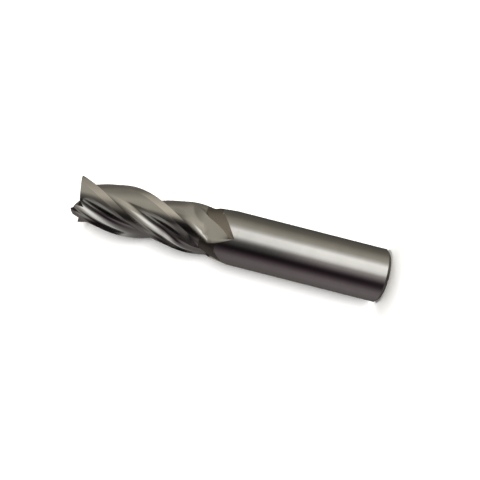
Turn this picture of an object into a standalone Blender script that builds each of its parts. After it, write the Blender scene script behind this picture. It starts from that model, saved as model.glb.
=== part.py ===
"""Four flute end mill, ground from one bar of tool steel.

Metres, +Z up. The tool stands on its flat shank end: the origin is the centre
of that end face, and +Z runs along the axis to the cutting tip. Seen from the
tip the tool cuts anticlockwise, so it is a right-hand tool.
"""
import bisect
from math import atan2, ceil, cos, hypot, pi, radians, sin, sqrt, tan

import bmesh
import bpy
from mathutils import Vector

# Driving dimensions of the whole tool
OVERALL_LENGTH = 0.0915      # shank end to the corners of the end teeth
SHANK_DIAMETER = 0.016
SHANK_CHAMFER = 0.001        # 45 degree chamfer round the shank end
CUTTING_DIAMETER = 0.015
CUT_LENGTH = 0.0375          # full section flutes, measured from the tip
RUNOUT_LENGTH = 0.0093       # stretch in which the flutes close to a nose
FLUTES = 4
HELIX_ANGLE = radians(31)    # at the cutting diameter

# Section of a tooth, square to the axis
LAND_ANGLE = radians(17)     # width of the relieved land behind each edge
LAND_RELIEF = radians(18)    # how steeply the land falls away from the edge
HEEL_SLOPE = radians(34)     # how steeply the back falls away from the heel
BACK_RADIUS = 0.0054         # crown of the back of a tooth
RAKE_ANGLE = radians(12)     # hook of the face in front of each edge
ROOT_RADIUS = 0.0026         # hollow between that face and the next back

# Shape of the run-out
LIFT_START = 0.0112          # above the run-out, where the flute starts to rise
LIFT_LENGTH = 0.0075         # stretch in which its hollow turns into a flat floor
WALL_HEIGHT = 0.0020         # rake face left beside that floor
WALL_LEAST = 0.1             # share of it that stays up to the nose
WALL_ROUNDING = 0.6          # share of the wall taken by its rounded foot
FLOOR_ROUNDING = 0.25        # share of the floor taken by it
NOSE_TURN = radians(57)      # how far round from the edge the nose lies
HEEL_SHIFT_START = 0.0045    # above the run-out, where the heel turns towards it
HEEL_SHIFT_LENGTH = 0.0060
EDGE_SWING_START = 0.20      # share of the run-out at which the edge leaves its helix
EDGE_POWER = 1.15            # how suddenly it then swings across to the nose
RAMP_START = 0.47            # share at which the ramp's upper end leaves the edge
RAMP_FALL = radians(9.5)     # how steeply the lands' ramp falls, measured round the bar
RAMP_SIDE_LEAST = 0.02       # least share of a land's facets that the ramp takes

# End teeth
END_DISH = radians(2)        # the end edges dip towards the centre
END_RELIEF = radians(7)
END_LAND_WIDTH = 0.0012
END_CLEARANCE = radians(16)  # steeper face behind the end land
GASH_SET_BACK = 0.00005      # keeps the gash just behind the radial line
GASH_RAKE = radians(10)
GASH_OPENING = radians(56)   # far wall of the gash, measured from the axis
GASH_DIP = radians(35)       # how steeply the gash runs down and out
GASH_BACK_UP = 0.0005        # the gash also reaches back towards the axis
LONG_TOOTH_START = 0.0007    # where the gash starts, from the axis
SHORT_TOOTH_START = 0.0019

# Fineness of the facets
LAND_STEPS = 7
RAMP_STEPS = 4               # of these, the ones that end at the ramp's upper end
FLUTE_STEPS = 16
SHANK_SIDES = 88
TURN_PER_STATION = radians(7)
RUNOUT_STATIONS = 14
CURVE_POINTS = 60            # working points along the flute's outline
SHARP_FROM = radians(28)     # edges that turn by more than this look sharp

SHANK_RADIUS = SHANK_DIAMETER / 2
CUT_RADIUS = CUTTING_DIAMETER / 2
TOOTH_PITCH = 2 * pi / FLUTES
LEAD = pi * CUTTING_DIAMETER / tan(HELIX_ANGLE)
RUNOUT_TOP = OVERALL_LENGTH - CUT_LENGTH
NOSE = RUNOUT_TOP - RUNOUT_LENGTH
CUTTER_MARGIN = 0.002        # how far the cutting tools reach past the steel
WELD = 0.00001               # points closer than this are made one
TRIM_MARGIN = 0.0003         # how far a flute's outline reaches past the steel
ROUND_GAP = 0.0004           # from the nose down to the round bar
ZIP_GAP = 0.0006             # and on down to the plain shank


def edge_turn(z):
    """Polar angle of the first cutting edge at the height z."""
    return 2 * pi * (z - OVERALL_LENGTH) / LEAD


def fade(share):
    """Smooth step from 0 to 1."""
    share = min(1.0, max(0.0, share))
    return share * share * (3 - 2 * share)


def runout_share(z):
    """0 where the run-out starts, 1 at the nose."""
    return max(0.0, (RUNOUT_TOP - z) / RUNOUT_LENGTH)


def heel_angle(z):
    """Where the back meets the land of the tooth ahead."""
    heel = TOOTH_PITCH - LAND_ANGLE
    shift = fade((RUNOUT_TOP + HEEL_SHIFT_START - z) / HEEL_SHIFT_LENGTH)
    return heel - (heel - NOSE_TURN) * shift


def edge_swing(z):
    """How far the cutting edge has left its helix, 0 above the run-out."""
    swing = (runout_share(z) - EDGE_SWING_START) / (1 - EDGE_SWING_START)
    return NOSE_TURN * max(0.0, swing) ** EDGE_POWER


def ramp_end(z):
    """Angle behind the edge at which the lands' ramp reaches the shank's surface."""
    share = (RUNOUT_TOP - z) / RUNOUT_LENGTH
    return (TOOTH_PITCH - NOSE_TURN) * (share - RAMP_START) / (1 - RAMP_START)


def edge_radius(z):
    """A cutter wider than its shank is turned down to it, before the ramp starts."""
    wider = max(0.0, CUT_RADIUS - SHANK_RADIUS)
    return CUT_RADIUS - wider * fade(runout_share(z) / RAMP_START)


def outer_radius(behind, z):
    """Radius of a tooth's outside, at an angle behind its cutting edge.

    The land falls away from the edge. Beside the shank it is a ramp instead,
    which climbs from the cutting diameter and ends in a crescent.
    """
    land = edge_radius(z) * (1 - tan(LAND_RELIEF) * min(LAND_ANGLE, max(0.0, behind)))
    fallen = max(0.0, min(behind, TOOTH_PITCH - NOSE_TURN) - ramp_end(z))
    return max(land, SHANK_RADIUS * (1 - tan(RAMP_FALL) * fallen))


def polar(radius, angle):
    return (radius * cos(angle), radius * sin(angle))


def between(a, b, share):
    return (a[0] + (b[0] - a[0]) * share, a[1] + (b[1] - a[1]) * share)


def arc(centre, radius, start, end):
    turns = [start + (end - start) * i / CURVE_POINTS for i in range(CURVE_POINTS + 1)]
    return [(centre[0] + radius * cos(t), centre[1] + radius * sin(t)) for t in turns]


def spread(points, count):
    """Points at even distances along a line of points, ends included."""
    lengths = [0.0]
    for a, b in zip(points, points[1:]):
        lengths.append(lengths[-1] + hypot(b[0] - a[0], b[1] - a[1]))
    result = []
    for i in range(count + 1):
        target = lengths[-1] * i / count
        k = min(max(bisect.bisect_left(lengths, target), 1), len(points) - 1)
        share = (target - lengths[k - 1]) / (lengths[k] - lengths[k - 1])
        result.append(between(points[k - 1], points[k], share))
    return result


def back_centre():
    """Centre of the arc that makes the back of a tooth, seen from its heel."""
    heel = TOOTH_PITCH - LAND_ANGLE
    heel_point = polar(CUT_RADIUS * (1 - tan(LAND_RELIEF) * LAND_ANGLE), heel)
    normal = polar(BACK_RADIUS, heel - HEEL_SLOPE)
    return (heel_point[0] - normal[0], heel_point[1] - normal[1])


def root_centre(back):
    """Centre of the hollow, which touches the rake face and the back."""
    inward = (-cos(RAKE_ANGLE), -sin(RAKE_ANGLE))
    start = (CUT_RADIUS - ROOT_RADIUS * sin(RAKE_ANGLE), ROOT_RADIUS * cos(RAKE_ANGLE))
    away = (start[0] - back[0], start[1] - back[1])
    along = away[0] * inward[0] + away[1] * inward[1]
    beside = hypot(*away) ** 2 - (BACK_RADIUS + ROOT_RADIUS) ** 2
    reach = -along - sqrt(along ** 2 - beside)
    return (start[0] + reach * inward[0], start[1] + reach * inward[1])


def full_flute():
    """Rake face, hollow and back of a flute at its full depth."""
    back = back_centre()
    root = root_centre(back)
    root_start = atan2(-cos(RAKE_ANGLE), sin(RAKE_ANGLE))
    root_end = atan2(back[1] - root[1], back[0] - root[0])
    while root_end > root_start:
        root_end -= 2 * pi
    beyond = (CUT_RADIUS + TRIM_MARGIN * cos(RAKE_ANGLE), TRIM_MARGIN * sin(RAKE_ANGLE))
    rear_start = atan2(root[1] - back[1], root[0] - back[0])
    rear_end = TOOTH_PITCH - LAND_ANGLE - HEEL_SLOPE + TRIM_MARGIN / BACK_RADIUS
    curve = ([beyond] + arc(root, ROOT_RADIUS, root_start, root_end)
             + arc(back, BACK_RADIUS, rear_start, rear_end)[1:])
    return spread(curve, CURVE_POINTS)


def floor_curve(z):
    """The shallower flute of the run-out: a wall, a rounded foot, a flat floor.

    Towards the nose the wall gets lower and its edge swings across the floor,
    as a grinding wheel leaves the bar.
    """
    share, heel = runout_share(z), heel_angle(z)
    edge_angle = edge_swing(z)
    edge = polar(outer_radius(-edge_angle, z), edge_angle)
    out_x, out_y = polar(1.0, edge_angle + RAKE_ANGLE)
    wall = WALL_HEIGHT * max(WALL_LEAST, 1 - share)
    start = (edge[0] + TRIM_MARGIN * out_x, edge[1] + TRIM_MARGIN * out_y)
    foot = (edge[0] - wall * out_x, edge[1] - wall * out_y)
    end = polar(outer_radius(TOOTH_PITCH - heel, z) + TRIM_MARGIN,
                heel + TRIM_MARGIN / CUT_RADIUS)
    above = between(foot, start, WALL_ROUNDING)
    beyond = between(foot, end, FLOOR_ROUNDING)
    curve = [start]
    for i in range(CURVE_POINTS + 1):
        t = i / CURVE_POINTS
        curve.append(between(between(above, foot, t), between(foot, beyond, t), t))
    return spread(curve + [end], CURVE_POINTS)


def flute_curve(z):
    """The flute's outline from one tooth to the next, at the height z."""
    lift = fade((RUNOUT_TOP + LIFT_START - z) / LIFT_LENGTH)
    return [between(a, b, lift) for a, b in zip(full_flute(), floor_curve(z))]


def depth(point, z, edge_at):
    """How far a point lies below the outside of the tooth with its edge there."""
    return outer_radius(edge_at - atan2(point[1], point[0]), z) - hypot(*point)


def trimmed(points, z, edge_at):
    """A line of points that starts outside the steel, cut off at its surface."""
    first = next(i for i, p in enumerate(points) if depth(p, z, edge_at) > 0)
    outer, inner = points[first - 1], points[first]
    a, b = depth(outer, z, edge_at), depth(inner, z, edge_at)
    return [between(outer, inner, a / (a - b))] + points[first:]


def land_shares(ramp_share):
    """Even shares of a land, unless the ramp's upper end falls among them."""
    split = max(RAMP_SIDE_LEAST, min(RAMP_STEPS / LAND_STEPS, ramp_share))
    for i in range(1, LAND_STEPS):
        if i <= RAMP_STEPS:
            yield split * i / RAMP_STEPS
        else:
            yield split + (1 - split) * (i - RAMP_STEPS) / (LAND_STEPS - RAMP_STEPS)


def tooth_outline(z):
    """One quarter of the section: the flute, then the relieved land."""
    flute = trimmed(flute_curve(z), z, 0.0)
    flute = trimmed(flute[::-1], z, TOOTH_PITCH)[::-1]
    flute = spread(flute, FLUTE_STEPS)
    heel = atan2(flute[-1][1], flute[-1][0])
    edge = atan2(flute[0][1], flute[0][0]) + TOOTH_PITCH
    ramp_share = (TOOTH_PITCH - ramp_end(z) - heel) / (edge - heel)
    land = []
    for share in land_shares(ramp_share):
        angle = heel + (edge - heel) * share
        land.append(polar(outer_radius(TOOTH_PITCH - angle, z), angle))
    return flute + land


def fluted_ring(z, turn_height, fixed_radius=None):
    """The whole section at the height z, turned as the helix is at turn_height."""
    outline = tooth_outline(turn_height)
    ring = []
    for tooth in range(FLUTES):
        turn = edge_turn(turn_height) + tooth * TOOTH_PITCH
        c, s = cos(turn), sin(turn)
        for x, y in outline:
            grow = fixed_radius / hypot(x, y) if fixed_radius else 1.0
            x, y = x * grow, y * grow
            ring.append(Vector((c * x - s * y, s * x + c * y, z)))
    return ring


def round_ring(radius, z):
    steps = [2 * pi * i / SHANK_SIDES for i in range(SHANK_SIDES)]
    return [Vector((radius * cos(t), radius * sin(t), z)) for t in steps]


def bridge(bm, lower, upper):
    """Quads between two rings of as many points."""
    for i in range(len(lower)):
        j = (i + 1) % len(lower)
        bm.faces.new((lower[i], lower[j], upper[j], upper[i]))


def zip_rings(bm, lower, upper):
    """Triangles between two round rings whose points differ in number."""
    def ordered(ring):
        angles = [atan2(v.co.y, v.co.x) % (2 * pi) for v in ring]
        first = angles.index(min(angles))
        verts = ring[first:] + ring[:first]
        turns = angles[first:] + angles[:first]
        return verts + verts[:1], turns + [turns[0] + 2 * pi]

    low, low_turns = ordered(lower)
    high, high_turns = ordered(upper)
    i = j = 0
    while i < len(low) - 1 or j < len(high) - 1:
        step_low = j == len(high) - 1 or (
            i < len(low) - 1 and low_turns[i + 1] <= high_turns[j + 1])
        if step_low:
            bm.faces.new((low[i], low[i + 1], high[j]))
            i += 1
        else:
            bm.faces.new((low[i], high[j + 1], high[j]))
            j += 1


def fluted_bar():
    """Shank, run-out and flutes as one closed mesh, still square at the tip."""
    bm = bmesh.new()
    round_top = NOSE - ROUND_GAP
    shank = [round_ring(SHANK_RADIUS - SHANK_CHAMFER, 0.0),
             round_ring(SHANK_RADIUS, SHANK_CHAMFER),
             round_ring(SHANK_RADIUS, round_top - ZIP_GAP)]
    fluted = [fluted_ring(round_top, NOSE, SHANK_RADIUS)]
    for i in range(RUNOUT_STATIONS + 1):
        z = NOSE + (RUNOUT_TOP - NOSE) * i / RUNOUT_STATIONS
        fluted.append(fluted_ring(z, z))
    top = OVERALL_LENGTH + CUTTER_MARGIN
    count = ceil(2 * pi * (top - RUNOUT_TOP) / LEAD / TURN_PER_STATION)
    for i in range(1, count + 1):
        z = RUNOUT_TOP + (top - RUNOUT_TOP) * i / count
        fluted.append(fluted_ring(z, z))

    lower = [[bm.verts.new(p) for p in ring] for ring in shank]
    upper = [[bm.verts.new(p) for p in ring] for ring in fluted]
    for rings in (lower, upper):
        for a, b in zip(rings, rings[1:]):
            bridge(bm, a, b)
    zip_rings(bm, lower[-1], upper[0])
    bm.faces.new(lower[0][::-1])
    bm.faces.new(upper[-1])
    return bm


def end_point(tooth, out, ahead, z):
    """A point given along and ahead of a tooth's end edge."""
    turn = tooth * TOOTH_PITCH
    c, s = cos(turn), sin(turn)
    return Vector((c * out - s * ahead, s * out + c * ahead, z))


def end_face_cutter():
    """Everything above the end faces: two planes behind each end edge."""
    bm = bmesh.new()
    reach = CUT_RADIUS + CUTTER_MARGIN
    top = OVERALL_LENGTH + 2 * CUTTER_MARGIN
    centre_z = OVERALL_LENGTH - CUT_RADIUS * tan(END_DISH)
    edge_z = centre_z + reach * tan(END_DISH)
    land_drop = END_LAND_WIDTH * tan(END_RELIEF)
    far_drop = land_drop + (reach - END_LAND_WIDTH) * tan(END_CLEARANCE)
    centre = bm.verts.new((0, 0, centre_z))
    corners = []
    for k in range(FLUTES):
        spots = {
            "edge": (reach, 0, edge_z),
            "land_out": (reach, -END_LAND_WIDTH, edge_z - land_drop),
            "land_in": (0, -END_LAND_WIDTH, centre_z - land_drop),
            "far_out": (reach, -reach, edge_z - far_drop),
            "far_in": (0, -reach, centre_z - far_drop),
            "top_edge": (reach, 0, top),
            "top_far": (reach, -reach, top),
        }
        corners.append({name: bm.verts.new(end_point(k, *spot))
                        for name, spot in spots.items()})
    for k, c in enumerate(corners):
        behind = corners[k - 1]
        loops = (
            (centre, c["land_in"], c["land_out"], c["edge"]),
            (c["land_in"], c["far_in"], c["far_out"], c["land_out"]),
            (centre, behind["edge"], c["far_in"], c["land_in"]),
            (c["edge"], c["land_out"], c["far_out"], c["top_far"], c["top_edge"]),
            (c["far_out"], c["far_in"], behind["edge"], behind["top_edge"],
             c["top_far"]),
        )
        for loop in loops:
            bm.faces.new(loop)
    roof = []
    for c in corners:
        roof += [c["top_far"], c["top_edge"]]
    bm.faces.new(roof)
    return bm


def gash_cutter(tooth):
    """The notch in front of one end edge, a wedge that deepens outwards."""
    bm = bmesh.new()
    start = SHORT_TOOTH_START if tooth % 2 == 0 else LONG_TOOTH_START
    reach = CUT_RADIUS + CUTTER_MARGIN
    top = OVERALL_LENGTH + CUTTER_MARGIN
    centre_z = OVERALL_LENGTH - CUT_RADIUS * tan(END_DISH)
    rows = []
    for out in (start - GASH_BACK_UP, reach):
        z = centre_z - (out - start) * tan(GASH_DIP)
        edge_z = centre_z + out * tan(END_DISH)
        ahead = -GASH_SET_BACK - (edge_z - z) * tan(GASH_RAKE)
        rise = top - z
        rows.append([bm.verts.new(end_point(tooth, out, *spot)) for spot in (
            (ahead, z),
            (ahead + rise * tan(GASH_RAKE), top),
            (ahead + rise * tan(GASH_OPENING), top))])
    inner, outer = rows
    bm.faces.new(inner)
    bm.faces.new(outer[::-1])
    bridge(bm, inner, outer)
    return bm


def add_object(name, bm, material=None):
    bmesh.ops.recalc_face_normals(bm, faces=bm.faces)
    mesh = bpy.data.meshes.new(name)
    bm.to_mesh(mesh)
    bm.free()
    obj = bpy.data.objects.new(name, mesh)
    bpy.context.scene.collection.objects.link(obj)
    if material:
        mesh.materials.append(material)
    return obj


def cut_away(obj, cutter):
    cutter.hide_render = True
    cutter.display_type = "WIRE"
    cut = obj.modifiers.new(cutter.name, "BOOLEAN")
    cut.operation = "DIFFERENCE"
    cut.solver = "EXACT"
    cut.object = cutter


def ground_steel():
    """Bright ground high speed steel."""
    material = bpy.data.materials.new("ground_steel")
    material.use_nodes = True
    shader = material.node_tree.nodes["Principled BSDF"]
    shader.inputs["Base Color"].default_value = (0.56, 0.55, 0.53, 1)
    shader.inputs["Metallic"].default_value = 1
    shader.inputs["Roughness"].default_value = 0.28
    return material


def main():
    for obj in list(bpy.data.objects):
        bpy.data.objects.remove(obj)
    tool = add_object("end_mill", fluted_bar(), ground_steel())
    cut_away(tool, add_object("end_face_cutter", end_face_cutter()))
    for tooth in range(FLUTES):
        cut_away(tool, add_object(f"gash_cutter_{tooth + 1}", gash_cutter(tooth)))
    weld = tool.modifiers.new("weld", "WELD")
    weld.merge_threshold = WELD
    tool.data.shade_smooth()
    tool.data.set_sharp_from_angle(angle=SHARP_FROM)


main()
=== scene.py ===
# %% [markdown]
# A four flute end mill, dressed for its picture. The real tool is one bar of
# high speed steel that grinding wheels have shaped all over, so there is one
# piece to make: the bar, with four helical flutes, relieved lands and end teeth.
# It could be modelled by eye, but a cutter is all angles and radii, so every form
# here comes from named sizes. The measured frame is loaded first, because the bar
# has to fill exactly the space that the frame gives it.

# %% Load the frame
import bisect
from math import atan2, ceil, cos, hypot, pi, radians, sin, sqrt, tan

import bmesh
import bpy
from mathutils import Matrix, Vector


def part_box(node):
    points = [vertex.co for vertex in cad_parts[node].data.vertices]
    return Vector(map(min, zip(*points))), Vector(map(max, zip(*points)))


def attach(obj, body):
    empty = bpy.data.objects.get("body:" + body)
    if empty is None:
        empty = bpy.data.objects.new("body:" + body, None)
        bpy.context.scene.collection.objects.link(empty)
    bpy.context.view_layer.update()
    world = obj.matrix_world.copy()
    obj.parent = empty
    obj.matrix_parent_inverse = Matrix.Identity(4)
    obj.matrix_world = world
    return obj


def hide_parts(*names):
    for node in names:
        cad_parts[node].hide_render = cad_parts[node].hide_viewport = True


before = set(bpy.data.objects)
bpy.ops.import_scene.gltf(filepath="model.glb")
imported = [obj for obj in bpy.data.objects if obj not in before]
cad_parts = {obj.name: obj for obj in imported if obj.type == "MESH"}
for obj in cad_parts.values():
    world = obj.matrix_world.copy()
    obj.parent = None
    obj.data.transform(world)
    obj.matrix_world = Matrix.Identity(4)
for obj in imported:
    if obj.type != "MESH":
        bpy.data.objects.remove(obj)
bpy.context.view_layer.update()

TOOL_LOW, TOOL_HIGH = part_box("end_mill")
OVERALL_LENGTH = TOOL_HIGH[2]
SHANK_RADIUS = TOOL_HIGH[0]
print("nodes:", sorted(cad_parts))
print(f"shank radius {SHANK_RADIUS * 1000:.2f} mm,",
      f"tool from {TOOL_LOW[2] * 1000:.2f} to {OVERALL_LENGTH * 1000:.2f} mm")

# %% [markdown]
# The camera looks straight at the side of the tool, rolled so that the upright
# tool lies across the picture with its tip to the upper left. Three rotation angles
# could say that, but they are hard to read and to adjust. Here the camera's matrix
# is built from three directions instead, right, up and back, each made from the
# tool's own axis. The picture then stays tied to the tool, wherever the camera walks.

# %% Camera
PIXELS = 480
LENS = 42.0
SENSOR = 36.0
TOOL_PIXEL = 0.000293              # one pixel of the picture, at the tool's axis
CAMERA_AZIMUTH = radians(24)       # walks round until the flutes stand as they should
AXIS_TILT = radians(14.30)         # the axis climbs to the left in the picture
AIM_HEIGHT = 0.0431                # height on the tool at the picture's centre
AIM_SIDE = -0.00006                # the centre lies just below the axis

camera_distance = TOOL_PIXEL * PIXELS * LENS / SENSOR
camera_polar = CAMERA_AZIMUTH - pi / 2
toward_camera = Vector((cos(camera_polar), sin(camera_polar), 0))
side = Vector((-toward_camera.y, toward_camera.x, 0))
axis_up = Vector((0, 0, 1))
picture_right = -cos(AXIS_TILT) * axis_up + sin(AXIS_TILT) * side
picture_up = sin(AXIS_TILT) * axis_up + cos(AXIS_TILT) * side

camera_data = bpy.data.cameras.new("camera")
camera_data.lens = LENS
camera_data.sensor_width = SENSOR
camera_data.clip_start = 0.01
camera = bpy.data.objects.new("camera", camera_data)
bpy.context.scene.collection.objects.link(camera)
turn = Matrix((picture_right, picture_up, toward_camera)).transposed().to_4x4()
spot = toward_camera * camera_distance + axis_up * AIM_HEIGHT + side * AIM_SIDE
camera.matrix_world = Matrix.Translation(spot) @ turn
bpy.context.scene.camera = camera
print(f"camera {camera_distance * 1000:.0f} mm from the axis")

# %% [markdown]
# The flutes. A section square to the axis has four equal teeth: a hooked rake face,
# a root fillet, a long crowned back, and a land that falls away behind the cutting
# edge. Turning that section as it climbs makes the helix. The solid model could be
# subdivided instead, but that would round the edges, and sharp edges are the point
# of a cutter. So its sizes and rules are repeated here, and the same steel is built
# again with many more and much smaller facets.

# %% Sizes of the section
FLUTES = 4
TOOTH_PITCH = 2 * pi / FLUTES
CUT_RADIUS = 0.0075
CUT_LENGTH = 0.0375                # full flutes, measured from the tip
SHANK_CHAMFER = 0.001
HELIX_ANGLE = radians(31)
LAND_ANGLE = radians(17)           # width of a land, measured round the bar
LAND_RELIEF = radians(18)          # how fast the land falls behind the edge
HEEL_SLOPE = radians(34)           # how steeply the back leaves the heel
BACK_RADIUS = 0.0054
RAKE_ANGLE = radians(12)
ROOT_RADIUS = 0.0026
LEAD = 2 * pi * CUT_RADIUS / tan(HELIX_ANGLE)
RUNOUT_TOP = OVERALL_LENGTH - CUT_LENGTH
print(f"lead of the helix {LEAD * 1000:.1f} mm, full flutes down to {RUNOUT_TOP * 1000:.1f} mm")

# %% Shapes in the plane of a section
def polar(radius, angle):
    return (radius * cos(angle), radius * sin(angle))


def between(a, b, share):
    return (a[0] + (b[0] - a[0]) * share, a[1] + (b[1] - a[1]) * share)


def fade(share):
    """Goes from 0 to 1 with a soft start and a soft end."""
    share = min(1.0, max(0.0, share))
    return share * share * (3 - 2 * share)


def arc(centre, radius, start, end, count):
    turns = [start + (end - start) * i / count for i in range(count + 1)]
    return [(centre[0] + radius * cos(t), centre[1] + radius * sin(t)) for t in turns]


def spread(points, count):
    """The same line with its points set out evenly, count steps in all."""
    lengths = [0.0]
    for a, b in zip(points, points[1:]):
        lengths.append(lengths[-1] + hypot(b[0] - a[0], b[1] - a[1]))
    result = []
    for i in range(count + 1):
        target = lengths[-1] * i / count
        k = min(max(bisect.bisect_left(lengths, target), 1), len(points) - 1)
        share = (target - lengths[k - 1]) / (lengths[k] - lengths[k - 1])
        result.append(between(points[k - 1], points[k], share))
    return result


print("helpers for a section: polar, between, fade, arc, spread")

# %% The full section of a flute
CURVE_POINTS = 160
TRIM_MARGIN = 0.0003               # curves run on this far past the bar's outside


def back_centre():
    heel = TOOTH_PITCH - LAND_ANGLE
    heel_point = polar(CUT_RADIUS * (1 - tan(LAND_RELIEF) * LAND_ANGLE), heel)
    normal = polar(BACK_RADIUS, heel - HEEL_SLOPE)
    return (heel_point[0] - normal[0], heel_point[1] - normal[1])


def root_centre(back):
    """The root touches the rake face and the back, so its centre follows from both."""
    inward = (-cos(RAKE_ANGLE), -sin(RAKE_ANGLE))
    start = (CUT_RADIUS - ROOT_RADIUS * sin(RAKE_ANGLE), ROOT_RADIUS * cos(RAKE_ANGLE))
    away = (start[0] - back[0], start[1] - back[1])
    along = away[0] * inward[0] + away[1] * inward[1]
    beside = hypot(*away) ** 2 - (BACK_RADIUS + ROOT_RADIUS) ** 2
    reach = -along - sqrt(along ** 2 - beside)
    return (start[0] + reach * inward[0], start[1] + reach * inward[1])


def full_flute():
    """From the cutting edge down the rake, round the root and up the back to the heel."""
    back = back_centre()
    root = root_centre(back)
    root_start = atan2(-cos(RAKE_ANGLE), sin(RAKE_ANGLE))
    root_end = atan2(back[1] - root[1], back[0] - root[0])
    while root_end > root_start:
        root_end -= 2 * pi
    beyond = (CUT_RADIUS + TRIM_MARGIN * cos(RAKE_ANGLE), TRIM_MARGIN * sin(RAKE_ANGLE))
    rear_start = atan2(root[1] - back[1], root[0] - back[0])
    rear_end = TOOTH_PITCH - LAND_ANGLE - HEEL_SLOPE + TRIM_MARGIN / BACK_RADIUS
    curve = ([beyond] + arc(root, ROOT_RADIUS, root_start, root_end, CURVE_POINTS)
             + arc(back, BACK_RADIUS, rear_start, rear_end, CURVE_POINTS)[1:])
    print(f"core {2000 * min(hypot(x, y) for x, y in curve):.1f} mm across")
    return spread(curve, CURVE_POINTS)


FULL = full_flute()

# %% [markdown]
# A grinding wheel leaves the bar along an arc, so each flute grows shallow and then
# ends in a nose. Sweeping a wheel's shape through the bar would give that too, but
# with less say over where the edges go. Here the hooked section turns into a plain,
# slightly hollow floor while the wheel lifts. The cutting edge then swings across
# that floor to the heel, where edge, heel and land meet in one point. Beside the
# nose the land climbs to the full shank as a shallow ramp, and the ramp's end draws
# a curved line from one nose to the next.

# %% Sizes of the run-out
RUNOUT_LENGTH = 0.0093
LIFT_START = 0.0112                # the wheel lifts from this far above the run-out
LIFT_LENGTH = 0.0075
NOSE_TURN = radians(57)            # from the cutting edge round to the nose
WALL_HEIGHT = 0.0020               # the low wall that the rake face dwindles to
WALL_LEAST = 0.1
WALL_ROUNDING = 0.6
FLOOR_ROUNDING = 0.25
HEEL_SHIFT_START = 0.0045
HEEL_SHIFT_LENGTH = 0.0060
EDGE_SWING_START = 0.20            # shares of the run-out, down from its top
EDGE_POWER = 1.15
RAMP_START = 0.47
RAMP_FALL = radians(9.5)
NOSE = RUNOUT_TOP - RUNOUT_LENGTH
print(f"the flutes end at {NOSE * 1000:.1f} mm")

# %% How the edges and the bar's outside run
def edge_turn(z):
    """How far the helix has turned at a height. It is 0 at the tip."""
    return 2 * pi * (z - OVERALL_LENGTH) / LEAD


def runout_share(z):
    return max(0.0, (RUNOUT_TOP - z) / RUNOUT_LENGTH)


def heel_angle(z):
    heel = TOOTH_PITCH - LAND_ANGLE
    shift = fade((RUNOUT_TOP + HEEL_SHIFT_START - z) / HEEL_SHIFT_LENGTH)
    return heel - (heel - NOSE_TURN) * shift


def edge_swing(z):
    swing = (runout_share(z) - EDGE_SWING_START) / (1 - EDGE_SWING_START)
    return NOSE_TURN * max(0.0, swing) ** EDGE_POWER


def ramp_end(z):
    """Where the ramp reaches the full shank, as an angle behind the edge."""
    share = (RUNOUT_TOP - z) / RUNOUT_LENGTH
    return (TOOTH_PITCH - NOSE_TURN) * (share - RAMP_START) / (1 - RAMP_START)


def outer_radius(behind, z):
    """The bar's outside at an angle behind the edge: the land, or the ramp over it."""
    land = CUT_RADIUS * (1 - tan(LAND_RELIEF) * min(LAND_ANGLE, max(0.0, behind)))
    fallen = max(0.0, min(behind, TOOTH_PITCH - NOSE_TURN) - ramp_end(z))
    return max(land, SHANK_RADIUS * (1 - tan(RAMP_FALL) * fallen))


print(f"heel radius {outer_radius(LAND_ANGLE, OVERALL_LENGTH) * 1000:.2f} mm")

# %% The outline of one flute at any height
def floor_curve(z):
    """The run-out's own outline: a low wall and a floor, with a rounded corner between."""
    share, heel = runout_share(z), heel_angle(z)
    edge_angle = edge_swing(z)
    edge = polar(outer_radius(-edge_angle, z), edge_angle)
    out_x, out_y = polar(1.0, edge_angle + RAKE_ANGLE)
    wall = WALL_HEIGHT * max(WALL_LEAST, 1 - share)
    start = (edge[0] + TRIM_MARGIN * out_x, edge[1] + TRIM_MARGIN * out_y)
    foot = (edge[0] - wall * out_x, edge[1] - wall * out_y)
    end = polar(outer_radius(TOOTH_PITCH - heel, z) + TRIM_MARGIN,
                heel + TRIM_MARGIN / CUT_RADIUS)
    above = between(foot, start, WALL_ROUNDING)
    beyond = between(foot, end, FLOOR_ROUNDING)
    curve = [start]
    for i in range(CURVE_POINTS + 1):
        t = i / CURVE_POINTS
        curve.append(between(between(above, foot, t), between(foot, beyond, t), t))
    return spread(curve + [end], CURVE_POINTS)


def flute_curve(z):
    lift = fade((RUNOUT_TOP + LIFT_START - z) / LIFT_LENGTH)
    return [between(a, b, lift) for a, b in zip(FULL, floor_curve(z))]


def depth(point, z, edge_at):
    """How deep a point lies under the bar's outside, for the tooth whose edge is there."""
    return outer_radius(edge_at - atan2(point[1], point[0]), z) - hypot(*point)


def trimmed(points, z, edge_at):
    """Cuts off the start of a line, up to where it enters the bar."""
    first = next(i for i, p in enumerate(points) if depth(p, z, edge_at) > 0)
    outer, inner = points[first - 1], points[first]
    a, b = depth(outer, z, edge_at), depth(inner, z, edge_at)
    return [between(outer, inner, a / (a - b))] + points[first:]


print(f"{len(flute_curve(NOSE))} points along a flute's outline")

# %% [markdown]
# The bar's skin. A Screw modifier could twist one section up the helix, but it
# can't change the section on the way. So rings of points are set one above the
# other and joined with quads. Every ring has the same points in the same order,
# which makes an edge of the real tool always an edge of the mesh. Each face also
# gets the number of the wheel that ground it: shank, flute, land, ramp or end. That
# number picks its finish later on.

# %% Rings of the fluted part
FLUTE_STEPS = 56
LAND_STEPS = 24
RAMP_STEPS = 14                    # of the land's steps, those from the heel to the ramp's end
RAMP_SIDE_LEAST = 0.02             # the least share of the land that they cover
SHANK_SIDES = 240


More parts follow.
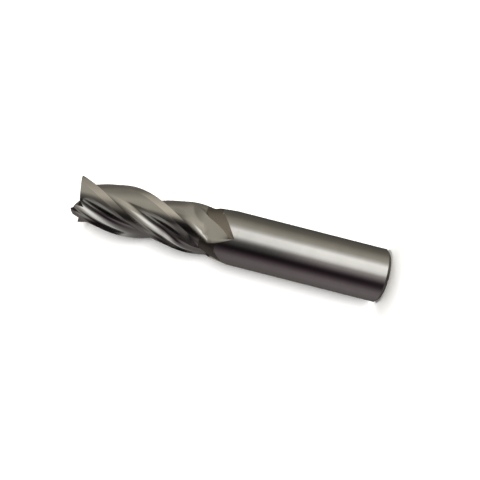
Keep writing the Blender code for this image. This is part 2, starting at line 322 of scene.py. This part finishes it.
def land_shares(ramp_share):
    """Where the land's points go, so that one of them always lies on the ramp's end."""
    split = max(RAMP_SIDE_LEAST, min(RAMP_STEPS / LAND_STEPS, ramp_share))
    for i in range(1, LAND_STEPS):
        if i <= RAMP_STEPS:
            yield split * i / RAMP_STEPS
        else:
            yield split + (1 - split) * (i - RAMP_STEPS) / (LAND_STEPS - RAMP_STEPS)


def tooth_outline(z):
    flute = trimmed(trimmed(flute_curve(z), z, 0.0)[::-1], z, TOOTH_PITCH)[::-1]
    flute = spread(flute, FLUTE_STEPS)
    heel = atan2(flute[-1][1], flute[-1][0])
    edge = atan2(flute[0][1], flute[0][0]) + TOOTH_PITCH
    ramp_share = (TOOTH_PITCH - ramp_end(z) - heel) / (edge - heel)
    land = []
    for share in land_shares(ramp_share):
        angle = heel + (edge - heel) * share
        land.append(polar(outer_radius(TOOTH_PITCH - angle, z), angle))
    return flute + land


def fluted_ring(z, shape_height, fixed_radius=None):
    """The outline at shape_height, four times round, at height z."""
    outline = tooth_outline(shape_height)
    ring = []
    for tooth in range(FLUTES):
        turn = edge_turn(shape_height) + tooth * TOOTH_PITCH
        c, s = cos(turn), sin(turn)
        for x, y in outline:
            grow = fixed_radius / hypot(x, y) if fixed_radius else 1.0
            ring.append(((c * x - s * y) * grow, (s * x + c * y) * grow, z))
    return ring


def round_ring(radius, z):
    steps = [2 * pi * i / SHANK_SIDES for i in range(SHANK_SIDES)]
    return [(radius * cos(t), radius * sin(t), z) for t in steps]


print(f"{FLUTES * (FLUTE_STEPS + LAND_STEPS)} points in a fluted ring,",
      f"{SHANK_SIDES} in a round one")

# %% Join two rings
def bridge(bm, lower, upper, finish):
    for i in range(len(lower)):
        j = (i + 1) % len(lower)
        face = bm.faces.new((lower[i], lower[j], upper[j], upper[i]))
        face.material_index = finish(i)


def zip_rings(bm, lower, upper):
    """Joins two rings with different numbers of points, always by the nearer step."""
    def ordered(ring):
        """The ring from its smallest angle on, closed by its first point."""
        angles = [atan2(v.co.y, v.co.x) % (2 * pi) for v in ring]
        first = angles.index(min(angles))
        verts = ring[first:] + ring[:first]
        turns = angles[first:] + angles[:first]
        return verts + verts[:1], turns + [turns[0] + 2 * pi]

    low, low_turns = ordered(lower)
    high, high_turns = ordered(upper)
    i = j = 0
    while i < len(low) - 1 or j < len(high) - 1:
        if j == len(high) - 1 or (i < len(low) - 1 and low_turns[i + 1] <= high_turns[j + 1]):
            bm.faces.new((low[i], low[i + 1], high[j]))
            i += 1
        else:
            bm.faces.new((low[i], high[j + 1], high[j]))
            j += 1


print("joins: quads for equal rings, triangles for unequal ones")

# %% The whole bar, with its end still square
TURN_PER_STATION = radians(1.4)    # of helix between one ring and the next
RUNOUT_STATIONS = 64
SHANK_STATIONS = 24
ROUND_GAP = 0.0004                 # from the noses down to where the bar is plain
ZIP_GAP = 0.0003
CUTTER_MARGIN = 0.002              # extra steel at the tip, which the end teeth cut off
SHANK, FLUTE, LAND, RAMP, END = range(5)


def wheel_of(column, z):
    """Which wheel ground the face at this place in the outline and at this height."""
    column %= FLUTE_STEPS + LAND_STEPS
    if column < FLUTE_STEPS:
        return FLUTE
    if z > RUNOUT_TOP:
        return LAND
    return RAMP if column < FLUTE_STEPS + RAMP_STEPS or ramp_end(z) < 0 else SHANK


def fluted_bar():
    bm = bmesh.new()
    round_top = NOSE - ROUND_GAP
    zip_height = round_top - ZIP_GAP
    shank = [round_ring(SHANK_RADIUS - SHANK_CHAMFER, 0.0)]
    for i in range(SHANK_STATIONS + 1):
        z = SHANK_CHAMFER + (zip_height - SHANK_CHAMFER) * i / SHANK_STATIONS
        shank.append(round_ring(SHANK_RADIUS, z))
    fluted = [fluted_ring(round_top, NOSE, SHANK_RADIUS)]
    for i in range(RUNOUT_STATIONS + 1):
        z = NOSE + (RUNOUT_TOP - NOSE) * i / RUNOUT_STATIONS
        fluted.append(fluted_ring(z, z))
    top = OVERALL_LENGTH + CUTTER_MARGIN
    count = ceil(2 * pi * (top - RUNOUT_TOP) / LEAD / TURN_PER_STATION)
    for i in range(1, count + 1):
        z = RUNOUT_TOP + (top - RUNOUT_TOP) * i / count
        fluted.append(fluted_ring(z, z))
    lower = [[bm.verts.new(p) for p in ring] for ring in shank]
    upper = [[bm.verts.new(p) for p in ring] for ring in fluted]
    for a, b in zip(lower, lower[1:]):
        bridge(bm, a, b, lambda column: SHANK)
    zip_rings(bm, lower[-1], upper[0])
    bridge(bm, upper[0], upper[1], lambda column: SHANK)
    for a, b in zip(upper[1:], upper[2:]):
        bridge(bm, a, b, lambda column: wheel_of(column, a[0].co.z))
    bm.faces.new(lower[0][::-1])
    bm.faces.new(upper[-1]).material_index = END
    return bm


# %% [markdown]
# The end teeth are ground last. Their faces could be drawn one by one, but each of
# them is cut off by its neighbours, so they are easiest to make as they are on the
# real tool: by taking steel off the square end. One cutter carries all four end
# faces, each with a narrow land and a steeper clearance. Four wedges then open the
# gash in front of each end edge. Two teeth reach the centre, so that the tool can
# plunge.

# %% The cutter for the end faces
END_DISH = radians(2)
END_RELIEF = radians(7)
END_LAND_WIDTH = 0.0012
END_CLEARANCE = radians(16)
REACH = CUT_RADIUS + CUTTER_MARGIN
CENTRE_Z = OVERALL_LENGTH - CUT_RADIUS * tan(END_DISH)


def end_point(tooth, out, ahead, z):
    """A point by its way out along a tooth's end edge, and its way ahead of the edge."""
    c, s = cos(tooth * TOOTH_PITCH), sin(tooth * TOOTH_PITCH)
    return (c * out - s * ahead, s * out + c * ahead, z)


def end_face_cutter():
    bm = bmesh.new()
    top = OVERALL_LENGTH + 2 * CUTTER_MARGIN
    edge_z = CENTRE_Z + REACH * tan(END_DISH)
    land_drop = END_LAND_WIDTH * tan(END_RELIEF)
    far_drop = land_drop + (REACH - END_LAND_WIDTH) * tan(END_CLEARANCE)
    centre = bm.verts.new((0, 0, CENTRE_Z))
    corners = []
    for k in range(FLUTES):
        spots = {
            "edge": (REACH, 0, edge_z),
            "land_out": (REACH, -END_LAND_WIDTH, edge_z - land_drop),
            "land_in": (0, -END_LAND_WIDTH, CENTRE_Z - land_drop),
            "far_out": (REACH, -REACH, edge_z - far_drop),
            "far_in": (0, -REACH, CENTRE_Z - far_drop),
            "top_edge": (REACH, 0, top),
            "top_far": (REACH, -REACH, top),
        }
        corners.append({name: bm.verts.new(end_point(k, *at)) for name, at in spots.items()})
    roof = []
    for k, c in enumerate(corners):
        behind = corners[k - 1]
        for loop in ((centre, c["land_in"], c["land_out"], c["edge"]),
                     (c["land_in"], c["far_in"], c["far_out"], c["land_out"]),
                     (centre, behind["edge"], c["far_in"], c["land_in"]),
                     (c["edge"], c["land_out"], c["far_out"], c["top_far"], c["top_edge"]),
                     (c["far_out"], c["far_in"], behind["edge"], behind["top_edge"],
                      c["top_far"])):
            bm.faces.new(loop)
        roof += [c["top_far"], c["top_edge"]]
    bm.faces.new(roof)
    return bm


print(f"the end is dished by {(OVERALL_LENGTH - CENTRE_Z) * 1000:.2f} mm")

# %% The cutter for a gash
GASH_SET_BACK = 0.00005
GASH_RAKE = radians(10)
GASH_OPENING = radians(56)
GASH_DIP = radians(35)
GASH_STARTS = (0.0019, 0.0007)     # from the centre, for short teeth and long teeth
GASH_BACK_UP = 0.0005              # the wedge starts this much nearer to the centre


def gash_cutter(tooth):
    bm = bmesh.new()
    start = GASH_STARTS[tooth % 2]
    top = OVERALL_LENGTH + CUTTER_MARGIN
    rows = []
    for out in (start - GASH_BACK_UP, REACH):
        z = CENTRE_Z - (out - start) * tan(GASH_DIP)
        edge_z = CENTRE_Z + out * tan(END_DISH)
        ahead = -GASH_SET_BACK - (edge_z - z) * tan(GASH_RAKE)
        rise = top - z
        rows.append([bm.verts.new(end_point(tooth, out, *at)) for at in (
            (ahead, z), (ahead + rise * tan(GASH_RAKE), top),
            (ahead + rise * tan(GASH_OPENING), top))])
    bm.faces.new(rows[0])
    bm.faces.new(rows[1][::-1])
    bridge(bm, rows[0], rows[1], lambda column: 0)
    return bm


print("gashes start", [f"{start * 1000:.1f}" for start in GASH_STARTS], "mm from the centre")

# %% [markdown]
# Ground steel is bright metal under thousands of fine parallel scratches. A picture
# of scratches would have to be wrapped round every flute without a seam. Noise needs
# no wrapping, so one node group draws the lines with it, stretched far along one
# direction. On the shank the direction runs round the bar. In the flutes it follows
# the helix, which the group gets by turning each point back by as much as the helix
# has turned there.

# %% Helpers for nodes
def new_group(name, inputs, outputs):
    group = bpy.data.node_groups.new(name, "ShaderNodeTree")
    for label, kind, value in inputs:
        socket = group.interface.new_socket(label, in_out="INPUT", socket_type=kind)
        socket.default_value = value
    for label, kind in outputs:
        group.interface.new_socket(label, in_out="OUTPUT", socket_type=kind)
    return group, group.nodes.new("NodeGroupInput"), group.nodes.new("NodeGroupOutput")


def add(group, kind, links=(), **settings):
    """A node. Each pair in links is a socket or a plain value, and the input it goes to."""
    node = group.nodes.new(kind)
    for key, value in settings.items():
        setattr(node, key, value)
    for source, target in links:
        if hasattr(source, "is_output"):
            group.links.new(source, node.inputs[target])
        else:
            node.inputs[target].default_value = source
    return node


print("helpers for nodes: new_group, add")

# %% A node group for grinding lines
PATCH_SCALE = 260.0                # cloudy patches a few millimetres across


def grinding_lines():
    group, given, result = new_group(
        "grinding_lines",
        (("Turn per metre", "NodeSocketFloat", 0.0),
         ("Across", "NodeSocketVector", (1, 1, 1)),
         ("Fine scale", "NodeSocketFloat", 9000.0)),
        (("Lines", "NodeSocketFloat"), ("Patches", "NodeSocketFloat")))
    place = add(group, "ShaderNodeTexCoord")
    parts = add(group, "ShaderNodeSeparateXYZ", [(place.outputs["Object"], 0)])
    angle = add(group, "ShaderNodeMath", [(parts.outputs["Z"], 0),
                                          (given.outputs["Turn per metre"], 1)],
                operation="MULTIPLY")
    turned = add(group, "ShaderNodeVectorRotate",
                 [(place.outputs["Object"], "Vector"), (angle.outputs[0], "Angle")],
                 rotation_type="Z_AXIS")
    squeezed = add(group, "ShaderNodeVectorMath",
                   [(turned.outputs[0], 0), (given.outputs["Across"], 1)],
                   operation="MULTIPLY")
    fine = add(group, "ShaderNodeTexNoise",
               [(squeezed.outputs[0], "Vector"), (given.outputs["Fine scale"], "Scale"),
                (3.0, "Detail"), (0.6, "Roughness")])
    patches = add(group, "ShaderNodeTexNoise",
                  [(place.outputs["Object"], "Vector"), (PATCH_SCALE, "Scale"), (4.0, "Detail")])
    group.links.new(fine.outputs["Fac"], result.inputs["Lines"])
    group.links.new(patches.outputs["Fac"], result.inputs["Patches"])
    return group


LINES = grinding_lines()
print("group:", LINES.name)

# %% [markdown]
# Each wheel leaves its own finish, and each finish is its own material: a Principled
# metal whose colour is fed by the patches, and roughness and bump by the lines.
# One material with masks could do it all, but five small ones are easier to change.
# Anisotropy spreads the highlight across the scratches, which is what draws the long
# soft bands along a ground shank. Deep in a flute the steel mirrors other steel.
# Such places are darker on the real tool than plain mirroring makes them, so shade
# is painted in: the colour is dimmed for steel that is seen in steel.

# %% Five finishes of ground steel
HELIX_TURN = -2 * pi / LEAD
# Painted shade: steel seen mirrored in other steel keeps only this share of its colour
MIRRORED_STEEL_SHADE = 0.6                    # what is left of steel seen in other steel
PATCH_DARK, PATCH_PALE = 0.9, 1.08
LINES_LOW, LINES_HIGH = 0.3, 0.7   # the part of the noise that the roughness follows
SMOOTHER, ROUGHER = 0.8, 1.25
SCRATCH_DEPTH = 0.00002


def steel(name, turn, across, fine_scale, colour, rough, bump, aniso):
    material = bpy.data.materials.new(name)
    material.use_nodes = True
    tree = material.node_tree
    shader = tree.nodes["Principled BSDF"]
    shader.inputs["Metallic"].default_value = 1.0
    shader.inputs["Anisotropic"].default_value = aniso
    lines = add(tree, "ShaderNodeGroup", node_tree=LINES)
    lines.inputs["Turn per metre"].default_value = turn
    lines.inputs["Across"].default_value = across
    lines.inputs["Fine scale"].default_value = fine_scale
    tint = add(tree, "ShaderNodeMix", data_type="RGBA")
    tint.inputs[6].default_value = (*[c * PATCH_DARK for c in colour], 1)
    tint.inputs[7].default_value = (*[c * PATCH_PALE for c in colour], 1)
    tree.links.new(lines.outputs["Patches"], tint.inputs[0])
    # Painted shade: the colour is dimmed on glossy rays, which darkens steel mirrored in the
    # flutes' hollows
    path = add(tree, "ShaderNodeLightPath")
    painted_mirror_shade = add(tree, "ShaderNodeMapRange",
                 [(path.outputs["Is Glossy Ray"], "Value"), (1.0, "To Min"),
                  (MIRRORED_STEEL_SHADE, "To Max")])
    shaded_tint = add(tree, "ShaderNodeVectorMath",
                 [(tint.outputs[2], 0), (painted_mirror_shade.outputs[0], "Scale")], operation="SCALE")
    tree.links.new(shaded_tint.outputs[0], shader.inputs["Base Color"])
    spread_out = add(tree, "ShaderNodeMapRange",
                     [(lines.outputs["Lines"], "Value"), (LINES_LOW, "From Min"),
                      (LINES_HIGH, "From Max"), (rough * SMOOTHER, "To Min"),
                      (rough * ROUGHER, "To Max")])
    tree.links.new(spread_out.outputs[0], shader.inputs["Roughness"])
    scratch = add(tree, "ShaderNodeBump",
                  [(lines.outputs["Lines"], "Height"), (bump, "Strength"),
                   (SCRATCH_DEPTH, "Distance")])
    tree.links.new(scratch.outputs[0], shader.inputs["Normal"])
    tangent = add(tree, "ShaderNodeTangent", direction_type="RADIAL", axis="Z")
    tree.links.new(tangent.outputs[0], shader.inputs["Tangent"])
    return material


WARM = (0.44, 0.429, 0.4145)
PALE = (0.51, 0.492, 0.47)
BROWN = (0.215, 0.193, 0.17)
ROUND_THE_BAR = (0.02, 0.02, 1.0)  # small along the lines, 1 across them
COARSE_ROUND = (0.05, 0.05, 1.0)
UP_THE_HELIX = (1.0, 1.0, 0.02)
OVER_THE_END = (1.0, 0.05, 1.0)
FINISHES = [                       # in the order of the wheels' numbers
    steel("ground_shank", 0.0, ROUND_THE_BAR, 7000.0, WARM, rough=0.12, bump=0.25, aniso=0.3),
    steel("ground_flute", HELIX_TURN, UP_THE_HELIX, 6000.0, WARM, rough=0.14, bump=0.22, aniso=0.2),
    steel("ground_land", HELIX_TURN, UP_THE_HELIX, 9000.0, PALE, rough=0.12, bump=0.16, aniso=0.2),
    steel("ground_ramp", 0.0, COARSE_ROUND, 5000.0, BROWN, rough=0.26, bump=0.30, aniso=0.2),
    steel("ground_end", 0.0, OVER_THE_END, 7000.0, WARM, rough=0.22, bump=0.2, aniso=0.0),
]
print("finishes:", [finish.name for finish in FINISHES])

# %% [markdown]
# Now the bar is made and its end is ground. The cutters work as Boolean modifiers,
# which keep every edge sharp and pass their own finish on to the faces they cut.
# The result is read back as a plain mesh, and the cutters are thrown away. Faces
# that meet at less than a set angle are then shaded as one smooth surface. Round
# the shank the normals are set one by one, straight out from the axis: the long thin
# faces below the noses would otherwise catch the light as marks on the steel.

# %% Grind the end
def add_object(name, bm):
    bmesh.ops.recalc_face_normals(bm, faces=bm.faces)
    mesh = bpy.data.meshes.new(name)
    bm.to_mesh(mesh)
    bm.free()
    obj = bpy.data.objects.new(name, mesh)
    bpy.context.scene.collection.objects.link(obj)
    return obj


def grind_end(tool):
    """Cuts the end faces and the four gashes, and leaves a plain mesh."""
    cutters = [add_object("end_face_cutter", end_face_cutter())]
    cutters += [add_object(f"gash_cutter_{k + 1}", gash_cutter(k)) for k in range(FLUTES)]
    for cutter in cutters:
        cutter.data.materials.append(FINISHES[END])
        cut = tool.modifiers.new(cutter.name, "BOOLEAN")
        cut.operation = "DIFFERENCE"
        cut.solver = "EXACT"
        cut.object = cutter
        cut.material_mode = "TRANSFER"
    bpy.context.view_layer.update()
    seen = tool.evaluated_get(bpy.context.evaluated_depsgraph_get())
    mesh = bpy.data.meshes.new_from_object(seen)
    tool.modifiers.clear()
    tool.data = mesh
    for cutter in cutters:
        bpy.data.objects.remove(cutter)


tool = add_object("ground_end_mill", fluted_bar())
for finish in FINISHES:
    tool.data.materials.append(finish)
grind_end(tool)
print(f"{len(tool.data.polygons)} faces, materials",
      [m.name for m in tool.data.materials])

# %% Smooth the faces and keep the edges
SHARP_FROM = radians(12)
UPRIGHT = 0.1                      # the chamfer and the end face lean more than this


def round_the_shank(tool):
    """Even shading round the bar, whatever facets the end of the flutes leaves there."""
    mesh = tool.data
    normals = [(0, 0, 0)] * len(mesh.loops)    # a zero leaves a normal as it is
    round_faces = [face for face in mesh.polygons
                   if face.material_index == SHANK and abs(face.normal.z) < UPRIGHT]
    for face in round_faces:
        for k in face.loop_indices:
            x, y, _ = mesh.vertices[mesh.loops[k].vertex_index].co
            normals[k] = (x / hypot(x, y), y / hypot(x, y), 0)
    mesh.normals_split_custom_set(normals)
    print(f"{len(round_faces)} faces shaded as one round shank")


tool.data.shade_smooth()
tool.data.set_sharp_from_angle(angle=SHARP_FROM)
round_the_shank(tool)
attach(tool, "root")
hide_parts("end_mill")

# %% [markdown]
# The floor and a white card just behind the tool stand in for the white table that
# such a tool is photographed on. One curved sheet could be both, but the tool has to
# stand close against the card for its shadow to be short. The card is see-through
# from behind, so it never hides the tool from the other side. Neither sheet shows in
# the steel, because bright metal is drawn by what it mirrors, and the stripes of
# light below take care of that. Nor do the sheets cast a shadow, so that the lamp
# above the tool can stand a little behind the card.

# %% White paper
PAPER = (0.9, 0.9, 0.9, 1)


def white_paper(name, glow, one_sided):
    material = bpy.data.materials.new(name)
    material.use_nodes = True
    tree = material.node_tree
    shader = tree.nodes["Principled BSDF"]
    shader.inputs["Base Color"].default_value = PAPER
    shader.inputs["Roughness"].default_value = 1.0
    shader.inputs["Specular IOR Level"].default_value = 0.0
    shader.inputs["Emission Color"].default_value = (1, 1, 1, 1)
    shader.inputs["Emission Strength"].default_value = glow
    if one_sided:
        facing = add(tree, "ShaderNodeNewGeometry")
        clear = add(tree, "ShaderNodeBsdfTransparent")
        mix = add(tree, "ShaderNodeMixShader",
                  [(facing.outputs["Backfacing"], 0), (shader.outputs[0], 1),
                   (clear.outputs[0], 2)])
        tree.links.new(mix.outputs[0], tree.nodes["Material Output"].inputs["Surface"])
    return material


def sheet(name, corners, material):
    mesh = bpy.data.meshes.new(name)
    mesh.from_pydata(corners, [], [range(len(corners))])
    mesh.materials.append(material)
    obj = bpy.data.objects.new(name, mesh)
    bpy.context.scene.collection.objects.link(obj)
    obj.visible_glossy = False
    obj.visible_diffuse = False
    obj.visible_shadow = False


print("paper: pale, matt and faintly glowing")

# %% Floor and card
CARD_GAP = 0.0004
CARD_SIZE = 0.6
CARD_GLOW = 0.12
FLOOR_GLOW = 0.02
card_foot = -toward_camera * (SHANK_RADIUS + CARD_GAP)
card = [card_foot - side * CARD_SIZE, card_foot + side * CARD_SIZE,
        card_foot + side * CARD_SIZE + axis_up * CARD_SIZE,
        card_foot - side * CARD_SIZE + axis_up * CARD_SIZE]
sheet("card", card, white_paper("card_paper", CARD_GLOW, True))
floor = [card_foot - side * CARD_SIZE, card_foot - side * CARD_SIZE + toward_camera * CARD_SIZE,
         card_foot + side * CARD_SIZE + toward_camera * CARD_SIZE, card_foot + side * CARD_SIZE]
sheet("floor", floor, white_paper("floor_paper", FLOOR_GLOW, False))
print(f"card {(SHANK_RADIUS + CARD_GAP) * 1000:.1f} mm behind the axis")

# %% [markdown]
# Two soft lamps light the paper. The wide one stands by the camera, a little towards
# the top of the picture. It lights the card, and lays a soft shadow under the tool.
# The small one hangs far above the tip and lights the floor. It is a little further
# back than the tool, so the tool's shadow on the floor comes forward and shows beyond
# the shank's end. A single lamp could only throw one of the two. Both are hidden from
# reflections, because a lamp's square image would spoil the even stripes in the steel.

# %% Soft lamps
def soft_lamp(name, way, distance, size, power):
    data = bpy.data.lights.new(name, "AREA")
    data.size = size
    data.energy = power
    lamp = bpy.data.objects.new(name, data)
    bpy.context.scene.collection.objects.link(lamp)
    way = way.normalized()
    lamp.location = axis_up * OVERALL_LENGTH / 2 + way * distance
    lamp.rotation_euler = way.to_track_quat("Z", "Y").to_euler()
    lamp.visible_glossy = False
    print(f"{name} {distance * 1000:.0f} mm away")


LAMP_DISTANCE = 0.60
front_way = toward_camera + 0.27 * side + 0.05 * axis_up
top_way = axis_up - 0.14 * toward_camera + 0.02 * side
soft_lamp("front_lamp", front_way, LAMP_DISTANCE, size=0.36, power=4.8)
soft_lamp("top_lamp", top_way, LAMP_DISTANCE, size=0.16, power=4.6)

# %% [markdown]
# Light for bright metal is a matter of stripes: a broad white panel in front of the
# tool, a black gap below it, and grey on either side. They could be built as lit
# panels, but each would have to be moved to shift one edge of one stripe. A colour
# ramp round the tool's axis paints them on the world instead, so that each stripe
# runs the whole length of the tool. A plain bar would need no more. But the lands
# and the flutes lean towards the tip or the shank, and so mirror another height of
# the studio. So there are six ramps, from foot to tip, and each hands over softly to
# the next as the mirrored ray points further towards the tip. The higher ones are
# plain and creamy, which gives the backs of the teeth and the flat run-outs their
# even, warm grey.

# %% Stripes of light
# Each stripe is its degrees round from the camera, its brightness and its tint.
CLEAR = (1.00, 1.00, 0.97)
ROSE = (1.00, 0.86, 0.90)
PLUM = (1.00, 0.68, 0.84)
CREAM = (1.00, 0.94, 0.80)
DULL = (1.00, 0.93, 0.90)
FOOT_STRIPES = (                   # for rays that point well towards the foot
    (-180, 0.06, DULL), (-67, 0.15, DULL), (-30, 0.15, DULL), (-7, 0.19, CLEAR),
    (8, 0.31, CLEAR), (30, 0.70, CLEAR), (52, 0.66, CLEAR), (82, 0.44, CREAM),
    (112, 0.20, CREAM), (180, 0.06, DULL),
)
SIDE_STRIPES = (                   # a little towards the foot
    (-180, 0.05, DULL), (-133, 0.135, DULL), (-100, 0.20, ROSE), (-80, 0.18, ROSE),
    (-55, 0.04, PLUM), (-42, 0.012, PLUM), (-32, 0.04, PLUM), (-21, 0.16, ROSE),
    (-4, 0.42, DULL), (4, 0.90, CLEAR), (14, 1.20, CLEAR), (38, 1.32, CLEAR),
    (50, 0.72, CLEAR), (60, 0.46, CREAM), (77, 0.34, CREAM), (101, 0.17, CREAM),
    (133, 0.10, CREAM), (180, 0.05, DULL),
)
LEVEL_STRIPES = (                  # straight out from the tool
    (-180, 0.05, DULL), (-133, 0.13, DULL), (-96, 0.18, ROSE), (-80, 0.17, ROSE),
    (-55, 0.045, PLUM), (-44, 0.01, PLUM), (-34, 0.012, ROSE), (-12, 0.085, CLEAR),
    (-5, 0.20, CLEAR), (0, 0.38, CLEAR), (13, 1.05, CLEAR), (38, 1.16, CLEAR),
    (50, 0.64, CLEAR), (60, 0.45, CREAM), (77, 0.33, CREAM), (101, 0.16, CREAM),
    (133, 0.10, CREAM), (180, 0.05, DULL),
)
TIP_STRIPES = (                    # a little towards the tip
    (-180, 0.05, DULL), (-127, 0.13, DULL), (-67, 0.06, DULL), (-37, 0.035, DULL),
    (-22, 0.07, DULL), (-9, 0.15, CREAM), (6, 0.50, CREAM), (22, 0.58, CREAM),
    (48, 0.58, CREAM), (75, 0.43, CREAM), (95, 0.24, CREAM), (112, 0.17, CREAM),
    (150, 0.15, CREAM), (180, 0.05, DULL),
)
HIGH_STRIPES = (                   # well towards the tip
    (-180, 0.05, DULL), (-127, 0.15, DULL), (-97, 0.12, DULL), (-84, 0.02, DULL),
    (-55, 0.005, DULL), (-32, 0.012, DULL), (-20, 0.09, CREAM), (-7, 0.42, CREAM),
    (7, 0.64, CREAM), (22, 0.64, CREAM), (48, 0.52, CREAM), (75, 0.40, CREAM),
    (95, 0.22, CREAM), (112, 0.16, CREAM), (150, 0.15, CREAM), (180, 0.05, DULL),
)
FAR_TIP_STRIPES = (                # mostly towards the tip
    (-180, 0.06, DULL), (-112, 0.12, DULL), (-80, 0.085, DULL), (-60, 0.16, CREAM),
    (-37, 0.46, CREAM), (12, 0.46, CREAM), (60, 0.26, CREAM), (100, 0.19, CREAM),
    (140, 0.10, CREAM), (180, 0.06, DULL),
)
BRIGHTEST = 1.32                   # a ramp holds no more than 1, so levels are divided by it
SKY_STRENGTH = 1.80
print(f"{len(SIDE_STRIPES)} stops for the stripes beside the tool")

# %% Which way a mirrored ray points
world = bpy.data.worlds.new("stripes")
world.use_nodes = True
bpy.context.scene.world = world
tree = world.node_tree
sky = tree.nodes["Background"]
direction = add(tree, "ShaderNodeTexCoord")
spun = add(tree, "ShaderNodeVectorRotate",
           [(direction.outputs["Generated"], "Vector"), (-camera_polar, "Angle")],
           rotation_type="Z_AXIS")
parts = add(tree, "ShaderNodeSeparateXYZ", [(spun.outputs[0], 0)])
around = add(tree, "ShaderNodeMath", [(parts.outputs["Y"], 0), (parts.outputs["X"], 1)],
             operation="ARCTAN2")
turn_share = add(tree, "ShaderNodeMapRange",
                 [(around.outputs[0], "Value"), (-pi, "From Min"), (pi, "From Max")])
print("world:", world.name)

# %% Ramps that hand over to each other
def stripe_ramp(stripes):
    ramp = add(tree, "ShaderNodeValToRGB", [(turn_share.outputs[0], 0)])
    stops = ramp.color_ramp.elements
    while len(stops) < len(stripes):
        stops.new(0.5)
    for stop, (angle, _, _) in zip(stops, stripes):
        stop.position = (angle + 180) / 360
    for stop, (_, level, tint) in zip(stops, stripes):
        stop.color = (*[level / BRIGHTEST * t for t in tint], 1)
    return ramp.outputs[0]


def give_way(colour, stripes, start, end):
    """Hands over to other stripes as a ray's lean, its Z, goes from start to end."""
    lean = add(tree, "ShaderNodeMapRange",
               [(parts.outputs["Z"], "Value"), (start, "From Min"), (end, "From Max")],
               interpolation_type="SMOOTHSTEP")
    both = add(tree, "ShaderNodeMix",
               [(lean.outputs[0], 0), (colour, 6), (stripe_ramp(stripes), 7)],
               data_type="RGBA")
    return both.outputs[2]


colour = give_way(stripe_ramp(FOOT_STRIPES), SIDE_STRIPES, start=-0.60, end=-0.22)
colour = give_way(colour, LEVEL_STRIPES, start=-0.16, end=-0.05)
colour = give_way(colour, TIP_STRIPES, start=0.03, end=0.11)
colour = give_way(colour, HIGH_STRIPES, start=0.29, end=0.36)
colour = give_way(colour, FAR_TIP_STRIPES, start=0.47, end=0.66)
print("ramps:", sum(node.type == "VALTORGB" for node in tree.nodes))

# %% [markdown]
# The camera itself sees plain white behind the paper, as an endless white studio
# would look. A light path tells its rays from the ones that the steel mirrors. The
# Standard view keeps the white white, where a filmic view would turn it grey.

# %% White for the camera
tree.links.new(colour, sky.inputs["Color"])
sky.inputs["Strength"].default_value = SKY_STRENGTH
white = add(tree, "ShaderNodeBackground")
path = add(tree, "ShaderNodeLightPath")
mix = add(tree, "ShaderNodeMixShader", [(path.outputs["Is Camera Ray"], 0),
                                        (sky.outputs[0], 1), (white.outputs[0], 2)])
tree.links.new(mix.outputs[0], tree.nodes["World Output"].inputs["Surface"])
bpy.context.scene.view_settings.view_transform = "Standard"
print("view:", bpy.context.scene.view_settings.view_transform)
